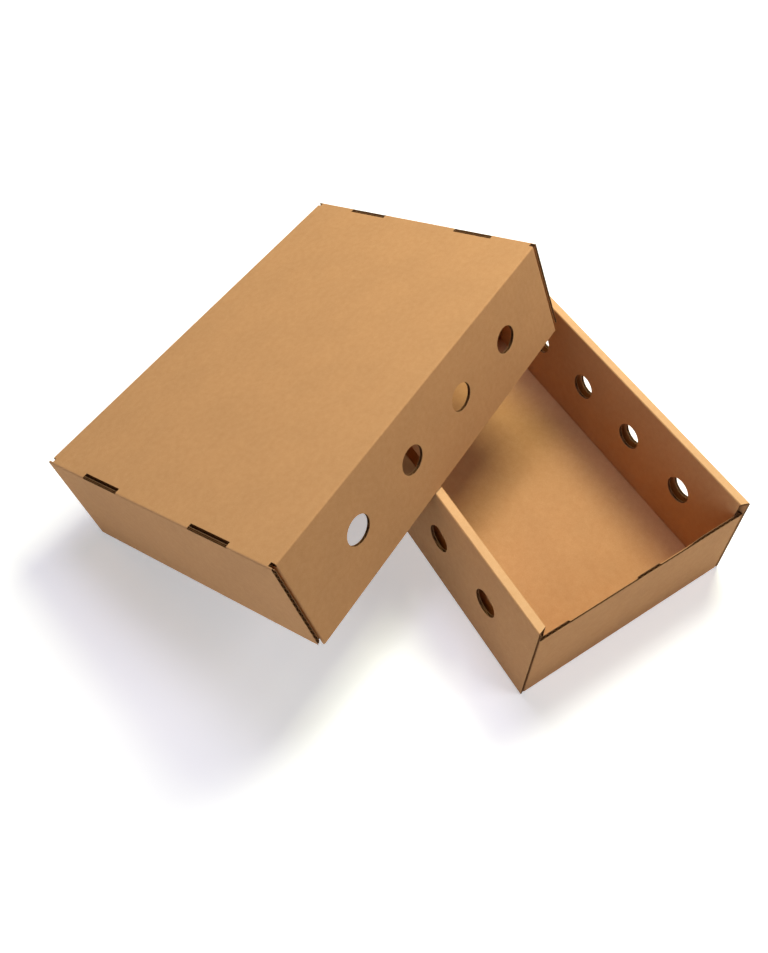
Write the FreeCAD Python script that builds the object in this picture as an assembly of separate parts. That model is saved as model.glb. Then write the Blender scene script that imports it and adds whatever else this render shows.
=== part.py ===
import FreeCAD
import Part
import math
import os

# A two-piece box of corrugated board: an open tray, and a lid that is a wider and longer tray
# turned upside down. The lid has been taken off and lies aslant over the tray.
# Lengths are in millimetres and angles in degrees. The origin is the middle of the tray's
# underside, X runs across the tray, Y along its long walls and Z up.

# Board
board = 3.0  # thickness of the corrugated board
fold_radius = 3.3  # outside of a scored fold
sheet_gap = 0.4  # air beside a panel that is pushed between two others
panel_gap = 0.6  # a rolled-over panel stops this short of the floor
end_gap = 1.0  # a rolled-over panel stops this short of the wall at its end

# Tray
tray_width = 250.0
tray_length = 364.0
tray_side_height = 114.0
tray_end_height = 98.0
tray_foot = 15.2  # double wall at the floor, from its outer to its inner face
tray_rim_cut = 4.0  # how far the rim's inner corner stands back from the tray's end
tray_lock_width = 36.0  # a locking tab of the rolled-over wall
tray_lock_offset = 90.0  # from the tray's middle to the middle of a locking tab
corner_tab = 45.0  # reach of a corner tab along the wall that holds it
corner_taper = 9.0  # a corner tab is this much lower at its free end

# Crushed stretches of the end walls' upper edges, measured from the left corner
crushed_stretches = ((36.0, 80.0), (141.0, 56.0))  # start and length
crushed_edge = 1.3  # thickness that is left at the edge
crushed_depth = 3.0

# Vent holes, in a row along each long wall
vent_count = 4
vent_radius = 14.0
tray_vent_pitch = 76.5
tray_vent_height = 58.5  # above the floor's underside
lid_vent_pitch = 79.0
lid_vent_depth = 54.5  # below the lid's top

# Lid
lid_length = 400.0
lid_width = 286.0
lid_end_depth = 106.0
lid_side_depth = 111.0
lid_rim = 11.6  # double end wall, from its outer to its inner face
lid_side_inset = 4.6  # from the end wall's outer face to the folded end of a long wall
lid_slot_length = 46.0
lid_slot_offset = 69.5  # from the lid's middle to the middle of a slot
lid_slot_reach = 5.6
lid_slot_drop = 1.0  # the end wall's cut edge lies this far below the top
lid_lock_height = 12.0
lid_lock_drop = 5.0  # the end of a locking tab lies this far below the top

# How the lid lies: on the tray's left rim, on its far end wall and with one corner on the ground
lid_turn = 24.035  # from X to the lid's long side, seen from above
rim_touch = 170.34  # from the lid's near corner along its long wall to the tray's rim
end_touch = 132.96  # from the same long wall along the lid's end wall to the tray's end wall
rest_gap = 0.1

margin = 1.0  # a shape that cuts another reaches this far past it
same_point = 1e-6  # points nearer to each other than this are one

fold_inner = fold_radius - board
tray_rim = 3 * board + 2 * sheet_gap
half_width = tray_width / 2
half_length = tray_length / 2


def in_xz(y):
    """Place a profile's two coordinates in the plane across the tray at y."""
    return lambda a, b: FreeCAD.Vector(a, y, b)


def in_yz(x):
    """Place a profile's two coordinates in the lengthwise plane at x."""
    return lambda a, b: FreeCAD.Vector(x, a, b)


def in_xy(z):
    """Place a profile's two coordinates in the level plane at z."""
    return lambda a, b: FreeCAD.Vector(a, b, z)


def prism(corners, place, run):
    """Extrude a closed profile, whose corners may carry a rounding radius."""
    corners = [(corner[0], corner[1], corner[2] if len(corner) == 3 else 0.0) for corner in corners]
    points = [place(a, b) for a, b, _ in corners]
    arcs = {}
    starts = []
    ends = []
    for index, (_, _, radius) in enumerate(corners):
        point = points[index]
        back = (points[index - 1] - point).normalize()
        ahead = (points[(index + 1) % len(points)] - point).normalize()
        half_angle = back.getAngle(ahead) / 2
        reach = radius / math.tan(half_angle)
        starts.append(point + back * reach)
        ends.append(point + ahead * reach)
        if radius > 0:
            middle = (back + ahead).normalize()
            crown = point + middle * (radius / math.sin(half_angle) - radius)
            arcs[index] = Part.Arc(starts[-1], crown, ends[-1]).toShape()
    chain = []
    for index in range(len(corners)):
        if index in arcs:
            chain.append(arcs[index])
        following = starts[(index + 1) % len(corners)]
        if (following - ends[index]).Length > same_point:
            chain.append(Part.LineSegment(ends[index], following).toShape())
    return Part.Face(Part.Wire(chain)).extrude(run)


def vent_places(pitch):
    """Where the vents of a row lie, from the wall's middle."""
    return [(index - (vent_count - 1) / 2) * pitch for index in range(vent_count)]


def block(low, high):
    """Box between two opposite corners."""
    size = [high[axis] - low[axis] for axis in range(3)]
    return Part.makeBox(*size, FreeCAD.Vector(*low))


def mirrored(shape, axis):
    """The shape with its copy on the other side of the origin along an axis."""
    return [shape, shape.mirror(FreeCAD.Vector(0, 0, 0), axis)]


ACROSS = FreeCAD.Vector(1, 0, 0)
ALONG = FreeCAD.Vector(0, 1, 0)
UP = FreeCAD.Vector(0, 0, 1)


# Tray

slope = (tray_foot - tray_rim) / (tray_side_height - board)
slanted_board = board * math.hypot(1, slope)


def inner_face(z):
    """X of the left double wall's inner face at height z."""
    return -half_width + tray_rim + slope * (tray_side_height - z)


def tray_side():
    """The left double wall: outer panel, rim and the panel that leans back to the floor."""
    outer = -half_width
    foot = board + panel_gap
    under_rim = tray_side_height - board
    wall = prism(
        [
            (outer + fold_radius, 0),
            (outer, 0, fold_radius),
            (outer, tray_side_height, fold_radius),
            (inner_face(tray_side_height), tray_side_height, fold_radius),
            (inner_face(foot), foot),
            (inner_face(foot) - slanted_board, foot),
            (inner_face(under_rim) - slanted_board, under_rim, fold_inner),
            (outer + board, under_rim, fold_inner),
            (outer + board, board, fold_inner),
            (outer + fold_radius, board),
        ],
        in_xz(-half_length),
        ALONG * tray_length,
    )
    beyond = -half_length - margin
    rim_end = prism(
        [
            (outer - margin, beyond),
            (outer - margin, -half_length),
            (outer, -half_length),
            (outer + tray_rim, -half_length + tray_rim_cut),
            (outer + tray_foot, -half_length + tray_rim_cut),
            (outer + tray_foot, beyond),
        ],
        in_xy(under_rim),
        UP * (board + margin),
    )
    panel_end = block(
        (outer + board, beyond, fold_radius),
        (outer + tray_foot + margin, -half_length + board + end_gap, under_rim),
    )
    for cut in mirrored(rim_end, ALONG) + mirrored(panel_end, ALONG):
        wall = wall.cut(cut)
    return wall


def tray_lock(middle):
    """A locking tab that carries the leaning panel down into its slot."""
    top = board + panel_gap
    return prism(
        [
            (inner_face(top) - slanted_board, top),
            (inner_face(top), top),
            (inner_face(sheet_gap), sheet_gap),
            (inner_face(sheet_gap) - slanted_board, sheet_gap),
        ],
        in_xz(middle - tray_lock_width / 2),
        ALONG * tray_lock_width,
    )


def tray_lock_slot(middle):
    """The slot in the floor; the locking tab bears on its inner edge."""
    half = tray_lock_width / 2 + sheet_gap
    return block(
        (inner_face(board) - slanted_board - sheet_gap, middle - half, -margin),
        (inner_face(board), middle + half, board + margin),
    )


def tray_end():
    """The near end wall with its two corner tabs and the fold to the floor."""
    face = -half_width + board + sheet_gap
    free = -half_length + corner_tab
    inside = -half_length + board
    wall = prism(
        [
            (face, free),
            (face, -half_length, fold_radius),
            (-face, -half_length, fold_radius),
            (-face, free),
            (-face - board, free),
            (-face - board, inside, fold_inner),
            (face + board, inside, fold_inner),
            (face + board, free),
        ],
        in_xy(fold_radius),
        UP * (tray_end_height - fold_radius),
    )
    taper_start = -half_length + fold_radius
    for height, drop in ((fold_radius, corner_taper), (tray_end_height, -corner_taper)):
        wall = wall.cut(prism(
            [(taper_start, height), (free, height + drop), (free, height)],
            in_yz(-half_width),
            ACROSS * tray_width,
        ))
    bottom_fold = prism(
        [
            (-half_length + fold_radius, 0),
            (-half_length, 0, fold_radius),
            (-half_length, fold_radius),
            (inside, fold_radius),
            (inside, board, fold_inner),
            (-half_length + fold_radius, board),
        ],
        in_yz(face + fold_radius),
        ACROSS * (-2 * (face + fold_radius)),
    )
    for start, length in crushed_stretches:
        wall = wall.cut(prism(
            [
                (-half_length + crushed_edge, tray_end_height),
                (inside, tray_end_height - crushed_depth),
                (inside + margin, tray_end_height - crushed_depth),
                (inside + margin, tray_end_height + margin),
                (-half_length + crushed_edge, tray_end_height + margin),
            ],
            in_yz(-half_width + start),
            ACROSS * length,
        ))
    return wall.fuse(bottom_fold)


def base_tray():
    """The whole tray as one folded sheet."""
    edge = fold_radius
    floor = block(
        (-half_width + edge, -half_length + edge, 0),
        (half_width - edge, half_length - edge, board),
    )
    locks = []
    for side in (-1, 1):
        middle = side * tray_lock_offset
        for slot in mirrored(tray_lock_slot(middle), ACROSS):
            floor = floor.cut(slot)
        locks += mirrored(tray_lock(middle), ACROSS)
    walls = mirrored(tray_side(), ACROSS) + mirrored(tray_end(), ALONG)
    tray = floor.multiFuse(walls + locks)
    for y in vent_places(tray_vent_pitch):
        start = FreeCAD.Vector(-half_width - margin, y, tray_vent_height)
        tray = tray.cut(Part.makeCylinder(vent_radius, tray_width + 2 * margin, start, ACROSS))
    return tray.removeSplitter()


# Lid. It is drawn level, with its near right top corner at the origin, its long side along X,
# its short side along Y and everything else below Z = 0, and is then laid on the tray.


def lid_end():
    """The near double end wall: outer panel, lower rim and the panel that comes back up."""
    top_gap = board + panel_gap
    wall = prism(
        [
            (fold_radius, 0),
            (0, 0, fold_radius),
            (0, -lid_end_depth, fold_radius),
            (lid_rim, -lid_end_depth, fold_radius),
            (lid_rim, -top_gap),
            (lid_rim - board, -top_gap),
            (lid_rim - board, board - lid_end_depth, fold_inner),
            (board, board - lid_end_depth, fold_inner),
            (board, -board, fold_inner),
            (fold_radius, -board),
        ],
        in_xz(0),
        ALONG * lid_width,
    )
    inset = board + end_gap
    for low, high in ((-margin, inset), (lid_width - inset, lid_width + margin)):
        wall = wall.cut(block(
            (board, low, -lid_end_depth - margin),
            (lid_rim + margin, high, -fold_radius),
        ))
    for middle in lid_slot_middles():
        wall = wall.fuse(lid_lock(middle))
    return wall


def lid_slot_middles():
    """Y of the middle of each slot along an end wall."""
    return [lid_width / 2 + side * lid_slot_offset for side in (-1, 1)]


def lid_lock(middle):
    """A locking tab that bends outwards from the inner panel towards its slot."""
    near = board + sheet_gap
    return prism(
        [
            (lid_rim - board, -lid_lock_height),
            (lid_rim, -lid_lock_height),
            (near + board, -lid_lock_drop),
            (near, -lid_lock_drop),
        ],
        in_xz(middle - lid_slot_length / 2 + sheet_gap),
        ALONG * (lid_slot_length - 2 * sheet_gap),
    )


def lid_slot(middle):
    """The slot along the top fold: it bares the end wall's cut upper edge."""
    low = middle - lid_slot_length / 2
    high = middle + lid_slot_length / 2
    over_edge = block((-margin, low, -lid_slot_drop), (board, high, margin))
    through_top = block((board, low, -board - panel_gap), (lid_slot_reach, high, margin))
    return over_edge.fuse(through_top)


def lid_side():
    """The near right long wall with its two corner tabs and the fold to the top."""
    far = lid_length - lid_side_inset
    wall = prism(
        [
            (lid_side_inset, corner_tab),
            (lid_side_inset, 0, fold_radius),
            (far, 0, fold_radius),
            (far, corner_tab),
            (far - board, corner_tab),
            (far - board, board, fold_inner),
            (lid_side_inset + board, board, fold_inner),
            (lid_side_inset + board, corner_tab),
        ],
        in_xy(-lid_side_depth),
        UP * (lid_side_depth - fold_radius),
    )
    tab_start = board + sheet_gap
    tab_foot = board + sheet_gap - lid_end_depth
    trim = prism(
        [
            (tab_start, -lid_side_depth - margin),
            (tab_start, tab_foot),
            (corner_tab + margin, tab_foot + corner_taper),
            (corner_tab + margin, -lid_side_depth - margin),
        ],
        in_yz(0),
        ACROSS * lid_length,
    )
    top_fold = prism(
        [
            (fold_radius, 0),
            (0, 0, fold_radius),
            (0, -fold_radius),
            (board, -fold_radius),
            (board, -board, fold_inner),
            (fold_radius, -board),
        ],
        in_yz(lid_side_inset + fold_radius),
        ACROSS * (lid_length - 2 * (lid_side_inset + fold_radius)),
    )
    return wall.cut(trim).fuse(top_fold)


def level_lid():
    """The whole lid as one folded sheet, before it is laid down."""
    edge = fold_radius
    top = block((edge, edge, -board), (lid_length - edge, lid_width - edge, 0))
    far = FreeCAD.Vector(lid_length / 2, 0, 0)
    left = FreeCAD.Vector(0, lid_width / 2, 0)
    end = lid_end()
    side = lid_side()
    lid = top.multiFuse([end, end.mirror(far, ACROSS), side, side.mirror(left, ALONG)])
    for middle in lid_slot_middles():
        slot = lid_slot(middle)
        lid = lid.cut(slot).cut(slot.mirror(far, ACROSS))
    for x in vent_places(lid_vent_pitch):
        start = FreeCAD.Vector(lid_length / 2 + x, -margin, -lid_vent_depth)
        lid = lid.cut(Part.makeCylinder(vent_radius, lid_width + 2 * margin, start, ALONG))
    return lid.removeSplitter()


def lid_placement():
    """Lay the lid on three points: the tray's rim, its far end wall and the ground.

    The heights of the three points fix which way is up in the lid's own frame, the turn is
    given, and the lid is then moved until two of the points meet the tray's walls.
    """
    on_rim = FreeCAD.Vector(rim_touch, board, -lid_side_depth)
    on_end = FreeCAD.Vector(lid_length - lid_rim, end_touch, -lid_end_depth)
    on_ground = FreeCAD.Vector(lid_side_inset + fold_radius, lid_width, -lid_side_depth)
    to_rim = on_rim - on_ground
    to_end = on_end - on_ground
    normal = to_rim.cross(to_end)
    level = to_end.cross(normal) * tray_side_height - to_rim.cross(normal) * tray_end_height
    level = level / normal.dot(normal)
    up = level + normal.normalize() * math.sqrt(1 - level.dot(level))
    pitch = math.asin(up.x)
    roll = math.asin(up.y / math.cos(pitch))
    rotation = FreeCAD.Rotation(lid_turn, -math.degrees(pitch), math.degrees(roll))
    return FreeCAD.Placement(
        FreeCAD.Vector(
            -half_width - rotation.multVec(on_rim).x,
            half_length - rotation.multVec(on_end).y,
            rest_gap - rotation.multVec(on_ground).z,
        ),
        rotation,
    )


def lid_tray():
    """The lid as it lies over the tray."""
    lid = level_lid()
    lid.Placement = lid_placement()
    return lid


os.makedirs("parts", exist_ok=True)
base_tray().exportStep("parts/base_tray.step")
lid_tray().exportStep("parts/lid_tray.step")
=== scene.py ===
"""A vented two-piece box of corrugated board: the open tray, and its lid lying aslant over it.

The board is built as the real one is: two smooth kraft liners with a wavy fluted sheet between
them, scored and folded, so every cut edge, vent and slot shows the liners and the flutes.
"""

import logging
import math
from dataclasses import dataclass, field
from enum import Enum
from typing import Callable, Optional, Sequence

import bmesh
import bpy
from mathutils import Matrix, Vector


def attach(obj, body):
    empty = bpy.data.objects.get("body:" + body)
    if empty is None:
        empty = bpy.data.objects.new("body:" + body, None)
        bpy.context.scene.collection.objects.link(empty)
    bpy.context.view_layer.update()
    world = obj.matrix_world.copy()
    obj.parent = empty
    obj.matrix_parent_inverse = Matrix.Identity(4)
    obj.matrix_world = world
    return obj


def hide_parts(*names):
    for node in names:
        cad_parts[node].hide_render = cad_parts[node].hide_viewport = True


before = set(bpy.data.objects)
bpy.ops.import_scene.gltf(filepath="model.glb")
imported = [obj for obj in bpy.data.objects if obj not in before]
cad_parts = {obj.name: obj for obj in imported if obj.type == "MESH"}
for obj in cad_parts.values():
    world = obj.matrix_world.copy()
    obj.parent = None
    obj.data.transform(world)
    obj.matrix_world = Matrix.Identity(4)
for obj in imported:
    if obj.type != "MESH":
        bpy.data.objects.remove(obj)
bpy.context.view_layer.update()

MM = 0.001
UNTURNED = Matrix.Identity(4)
LOG = logging.getLogger("tray_box")

IMAGE_WIDTH = 768
IMAGE_HEIGHT = 953
SHARP_ANGLE = 28.0
JUMP = 0.002
SAME_STATION = 1e-4

Place = Callable[[float, float, float], Vector]
Level = Callable[[float], tuple[float, float]]


def eased(share: float) -> float:
    """Rise smoothly from 0 to 1 as a share goes from 0 to 1."""
    held = max(0.0, min(1.0, share))
    return held * held * (3 - 2 * held)


class Surface(Enum):
    """The faces of the board that are finished apart, in the order of their material slots."""

    LINER = 0
    LINER_EDGE = 1
    FLUTE = 2
    # The last slot is a paler liner that paints a highlight on the tray's upward-facing rims.
    RUBBED = 3


class Flutes(Enum):
    """The directions in which a panel's faint washboard lines follow each other."""

    PROFILE = (1.0, 0.0, 1.0)
    LEVEL = (1.0, 0.0, 0.0)


# Board


@dataclass(frozen=True)
class Board:
    """Single-wall corrugated board, B flute. Sizes are in millimetres.

    Attributes:
        thickness: Over both liners.
        liner: Thickness of a kraft liner.
        medium: Thickness of the fluted sheet.
        play: Air between the fluted sheet's crests and the liners.
        pitch: Length of one flute.
        fold_radius: Outside radius of a scored fold.
        fold_share: Share of the thickness that the scoring leaves in a fold.
        fold_reach: How far beside a fold the board is still pressed together.
        fold_room: Room that a panel leaves free for a fold across its end.
        wave_steps: Samples along one flute.
        fold_steps: Samples round one fold.
        reach_steps: Samples beside one fold.
    """

    thickness: float = 3.0
    liner: float = 0.4
    medium: float = 0.3
    play: float = 0.02
    pitch: float = 6.5
    fold_radius: float = 1.6
    fold_share: float = 0.5
    fold_reach: float = 3.0
    fold_room: float = 3.3
    wave_steps: int = 12
    fold_steps: int = 6
    reach_steps: int = 4


BOARD = Board()


@dataclass(frozen=True)
class Stretch:
    """One straight run or one arc of a folded sheet's outer face."""

    length: float
    start: Vector
    heading: Vector
    inward: Vector
    radius: float = 0.0

    def at(self, distance: float, depth: float) -> Vector:
        """Find a point of the sheet.

        Args:
            distance: Millimetres along this stretch's outer face.
            depth: Millimetres under the outer face.

        Returns:
            The point in the plane of the profile.
        """
        if self.radius == 0.0:
            return self.start + self.heading * distance + self.inward * depth
        angle = distance / self.radius
        centre = self.start + self.inward * self.radius
        reach = self.radius - depth
        return centre + (self.heading * math.sin(angle) - self.inward * math.cos(angle)) * reach


class FoldedPath:
    """The outer face of a folded sheet, drawn as a profile with rounded folds."""

    def __init__(self, corners: Sequence[tuple[float, float]], radius: float, left: bool) -> None:
        """Lay out the stretches.

        Args:
            corners: The face's ends and sharp corners, in order.
            radius: Outside radius of each fold.
            left: Whether the board lies to the left of the face as the path runs.
        """
        self.stretches: list[Stretch] = []
        self.breaks: list[float] = [0.0]
        points = [Vector(corner) for corner in corners]
        begin = points[0]
        for index in range(1, len(points)):
            corner = points[index]
            heading = (corner - points[index - 1]).normalized()
            inward = Vector((-heading.y, heading.x)) * (1.0 if left else -1.0)
            if index == len(points) - 1:
                self._add(Stretch((corner - begin).length, begin, heading, inward))
                break
            turn = heading.angle((points[index + 1] - corner).normalized())
            setback = radius * math.tan(turn / 2)
            stop = corner - heading * setback
            self._add(Stretch((stop - begin).length, begin, heading, inward))
            self._add(Stretch(radius * turn, stop, heading, inward, radius))
            following = (points[index + 1] - corner).normalized()
            begin = corner + following * setback

    def _add(self, stretch: Stretch) -> None:
        """Append a stretch and the length at which it ends."""
        self.stretches.append(stretch)
        self.breaks.append(self.breaks[-1] + stretch.length)

    @property
    def length(self) -> float:
        """Length of the outer face."""
        return self.breaks[-1]

    def at(self, distance: float, depth: float) -> Vector:
        """Find a point of the sheet, pressed together in and beside its folds.

        Args:
            distance: Millimetres along the outer face.
            depth: Millimetres under the outer face, before the board is pressed.

        Returns:
            The point in the plane of the profile.
        """
        pressed = depth * self.pressed(distance)
        for index, stretch in enumerate(self.stretches):
            if distance <= self.breaks[index + 1]:
                return stretch.at(distance - self.breaks[index], pressed)
        return self.stretches[-1].at(distance - self.breaks[-2], pressed)

    def pressed(self, distance: float) -> float:
        """Find how far the board is pressed together, in a fold and beside it.

        Args:
            distance: Millimetres along the outer face.

        Returns:
            The share of the thickness that is left.
        """
        share = 1.0
        for index, stretch in enumerate(self.stretches):
            if stretch.radius > 0:
                away = max(self.breaks[index] - distance, distance - self.breaks[index + 1])
                freed = BOARD.fold_share + (1 - BOARD.fold_share) * eased(away / BOARD.fold_reach)
                share = min(share, freed)
        return share

    def stations(self, step: Optional[float], extra: Sequence[float] = ()) -> list[float]:
        """Choose where the sheet is sampled.

        Args:
            step: Largest distance between two samples, or None for only the needed ones.
            extra: More distances at which the sheet's outline changes.

        Returns:
            Distances along the outer face, in order.
        """
        found = set(self.breaks) | {value for value in extra if 0 < value < self.length}
        for index, stretch in enumerate(self.stretches):
            if stretch.radius > 0:
                start, end = self.breaks[index], self.breaks[index + 1]
                for part in range(1, BOARD.fold_steps):
                    found.add(start + stretch.length * part / BOARD.fold_steps)
                for part in range(1, BOARD.reach_steps + 1):
                    away = BOARD.fold_reach * part / BOARD.reach_steps
                    found |= {value for value in (start - away, end + away)
                              if 0 < value < self.length}
        if step is not None:
            count = math.ceil(self.length / step)
            found |= {self.length * part / count for part in range(count + 1)}
        ordered = sorted(found)
        kept = [ordered[0]]
        for value in ordered[1:]:
            if value - kept[-1] > SAME_STATION:
                kept.append(value)
        return kept


def jumps(path: FoldedPath) -> list[float]:
    """Find the distances just before and after each break, where an outline may jump."""
    return [value + sign * JUMP for value in path.breaks for sign in (-1, 1)]


def sheet_mesh(
    path: FoldedPath,
    stations: Sequence[float],
    depths: tuple[Callable[[float], float], Callable[[float], float]],
    levels: Sequence[Level],
    place: Place,
    surfaces: tuple[Surface, Surface, Surface],
) -> bmesh.types.BMesh:
    """Build one thin sheet as a closed mesh.

    Args:
        path: The profile that the sheet follows.
        stations: Distances along the profile.
        depths: Depth of the sheet's outer and inner side at a distance.
        levels: Rows across the profile, each giving its coordinate and how far the depth shrinks.
        place: Turns profile coordinates and a row's coordinate into a point of the part.
        surfaces: Finish of the outer side, the inner side and the cut edges.

    Returns:
        The sheet's mesh.
    """
    mesh = bmesh.new()
    rows = []
    for level in levels:
        row = []
        for distance in stations:
            across, shrink = level(distance)
            pair = []
            for depth in depths:
                point = path.at(distance, depth(distance) * shrink)
                pair.append(mesh.verts.new(place(point.x, point.y, across)))
            row.append(pair)
        rows.append(row)
    last = len(stations) - 1
    for lower, upper in zip(rows, rows[1:]):
        for index in range(last):
            for side, surface in enumerate(surfaces[:2]):
                corners = (lower[index][side], lower[index + 1][side],
                           upper[index + 1][side], upper[index][side])
                mesh.faces.new(corners).material_index = surface.value
        for index in (0, last):
            corners = (lower[index][0], lower[index][1], upper[index][1], upper[index][0])
            mesh.faces.new(corners).material_index = surfaces[2].value
    for row in (rows[0], rows[-1]):
        for index in range(last):
            corners = (row[index][0], row[index][1], row[index + 1][1], row[index + 1][0])
            mesh.faces.new(corners).material_index = surfaces[2].value
    bmesh.ops.recalc_face_normals(mesh, faces=mesh.faces)
    return mesh


def profile_place(laid: Matrix) -> Place:
    """Make a placing for a profile drawn in X and Z, with its rows set out along Y."""
    return lambda a, b, e: (laid @ Vector((a, e, b))) * MM


def plain_place(laid: Matrix) -> Place:
    """Make a placing for points given by X, Y and Z."""
    return lambda a, b, c: (laid @ Vector((a, b, c))) * MM


def constant(value: float) -> Callable[[float], float]:
    """Make a depth that is the same all along a sheet."""
    return lambda _: value


@dataclass
class Sheets:
    """The meshes of a piece of board: its liners, and the fluted sheet between them."""

    liners: list[bmesh.types.BMesh] = field(default_factory=list)
    mediums: list[bmesh.types.BMesh] = field(default_factory=list)

    def __iadd__(self, other: "Sheets") -> "Sheets":
        """Add another piece's sheets to these.

        Args:
            other: The other piece's sheets.

        Returns:
            These sheets.
        """
        self.liners += other.liners
        self.mediums += other.mediums
        return self


def board_sheets(
    path: FoldedPath, levels: Sequence[Level], place: Place, extra: Sequence[float] = (),
    fluted: bool = True,
) -> Sheets:
    """Build a folded piece of board: two liners with the fluted sheet between them.

    Args:
        path: Profile of the board's outer face.
        levels: Rows across the profile.
        place: Turns profile coordinates and a row's coordinate into a point of the part.
        extra: More distances at which the board's outline changes.
        fluted: Whether the flutes lie across the profile and so show as waves in it.

    Returns:
        The sheets.
    """
    plain = path.stations(None, extra)
    inner = BOARD.thickness - BOARD.liner
    outside = sheet_mesh(
        path, plain, (constant(0.0), constant(BOARD.liner)), levels, place,
        (Surface.LINER, Surface.FLUTE, Surface.LINER_EDGE))
    inside = sheet_mesh(
        path, plain, (constant(inner), constant(BOARD.thickness)), levels, place,
        (Surface.FLUTE, Surface.LINER, Surface.LINER_EDGE))
    swing = (inner - BOARD.liner - BOARD.medium) / 2 - BOARD.play
    middle = BOARD.thickness / 2
    half = BOARD.medium / 2

    def wave(offset: float) -> Callable[[float], float]:
        """Depth of one side of the fluted sheet."""
        return lambda distance: middle + offset + swing * math.sin(
            2 * math.pi * distance / BOARD.pitch)

    step = BOARD.pitch / BOARD.wave_steps if fluted else None
    sides = (constant(middle - half), constant(middle + half))
    if fluted:
        sides = (wave(-half), wave(half))
    medium = sheet_mesh(path, path.stations(step, extra), sides, levels, place,
                        (Surface.FLUTE, Surface.FLUTE, Surface.FLUTE))
    return Sheets([outside, inside], [medium])


def plain_piece(path: FoldedPath, low: float, high: float, place: Place) -> Sheets:
    """Build a piece between two straight edges, with flutes that run along the profile."""
    levels: list[Level] = [lambda _: (low, 1.0), lambda _: (high, 1.0)]
    return board_sheets(path, levels, place, fluted=False)


def joined(meshes: Sequence[bmesh.types.BMesh], name: str) -> bpy.types.Object:
    """Put several meshes into one object.

    Args:
        meshes: Meshes to join; they are freed.
        name: Name of the new object.

    Returns:
        The object, linked to the scene.
    """
    data = bpy.data.meshes.new(name)
    whole = bmesh.new()
    for mesh in meshes:
        part = bpy.data.meshes.new(name + "_part")
        mesh.to_mesh(part)
        mesh.free()
        whole.from_mesh(part)
        bpy.data.meshes.remove(part)
    whole.to_mesh(data)
    whole.free()
    thing = bpy.data.objects.new(name, data)
    bpy.context.scene.collection.objects.link(thing)
    return thing


def box_mesh(low: Sequence[float], high: Sequence[float], place: Place) -> bmesh.types.BMesh:
    """Build a box between two corners.

    Args:
        low: Its lowest coordinates, in millimetres before they are placed.
        high: Its highest coordinates.
        place: Turns the three coordinates into a point of the part.

    Returns:
        The box's mesh.
    """
    mesh = bmesh.new()
    grid = {}
    for a in (0, 1):
        for b in (0, 1):
            for c in (0, 1):
                corner = ((low[0], high[0])[a], (low[1], high[1])[b], (low[2], high[2])[c])
                grid[a, b, c] = mesh.verts.new(place(*corner))
    for axis in range(3):
        for side in (0, 1):
            ring = [(0, 0), (1, 0), (1, 1), (0, 1)]
            keys = [tuple(pair[:axis]) + (side,) + tuple(pair[axis:]) for pair in ring]
            mesh.faces.new([grid[key] for key in keys])
    bmesh.ops.recalc_face_normals(mesh, faces=mesh.faces)
    return mesh


def drill_mesh(
    start: Sequence[float], run: Sequence[float], radius: float, place: Place, sides: int = 96
) -> bmesh.types.BMesh:
    """Build a round cutter.

    Args:
        start: Centre of one end.
        run: From that end to the other, along one axis.
        radius: Its radius.
        place: Turns the three coordinates into a point of the part.
        sides: How many flat sides stand for the round one.

    Returns:
        The cutter's mesh.
    """
    mesh = bmesh.new()
    axis = Vector(run).normalized()
    across = Vector((0, 0, 1))
    over = axis.cross(across)
    rings = []
    for end in (Vector(start), Vector(start) + Vector(run)):
        ring = []
        for index in range(sides):
            angle = 2 * math.pi * index / sides
            point = end + across * (radius * math.cos(angle)) + over * (radius * math.sin(angle))
            ring.append(mesh.verts.new(place(*point)))
        rings.append(ring)
    for index in range(sides):
        nxt = (index + 1) % sides
        mesh.faces.new((rings[0][index], rings[0][nxt], rings[1][nxt], rings[1][index]))
    mesh.faces.new(rings[0])
    mesh.faces.new(rings[1])
    bmesh.ops.recalc_face_normals(mesh, faces=mesh.faces)
    return mesh


@dataclass(frozen=True)
class Finish:
    """The materials of one piece of board, in the order of their slots."""

    liner: bpy.types.Material
    liner_edge: bpy.types.Material
    flute: bpy.types.Material
    # A paler liner that paints a highlight on upward-facing rims, if the piece has one.
    rubbed: Optional[bpy.types.Material] = None

    def dress(self, thing: bpy.types.Object) -> None:
        """Give an object its material slots.

        Args:
            thing: The object.
        """
        for material in (self.liner, self.liner_edge, self.flute, self.rubbed):
            if material is not None:
                thing.data.materials.append(material)


def cut(thing: bpy.types.Object, tool: bpy.types.Object, bared: Surface) -> None:
    """Cut an object with closed meshes that don't touch each other.

    Args:
        thing: The object to cut; its mesh is replaced.
        tool: The cutters.
        bared: The finish that the cut lays bare.
    """
    tool.data.materials.clear()
    for material in thing.data.materials:
        tool.data.materials.append(material)
    for polygon in tool.data.polygons:
        polygon.material_index = bared.value
    modifier = thing.modifiers.new("cut", "BOOLEAN")
    modifier.operation = "DIFFERENCE"
    modifier.solver = "MANIFOLD"
    modifier.object = tool
    view = bpy.context.evaluated_depsgraph_get()
    result = bpy.data.meshes.new_from_object(thing.evaluated_get(view))
    thing.modifiers.clear()
    old = thing.data
    thing.data = result
    bpy.data.meshes.remove(old)


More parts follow.
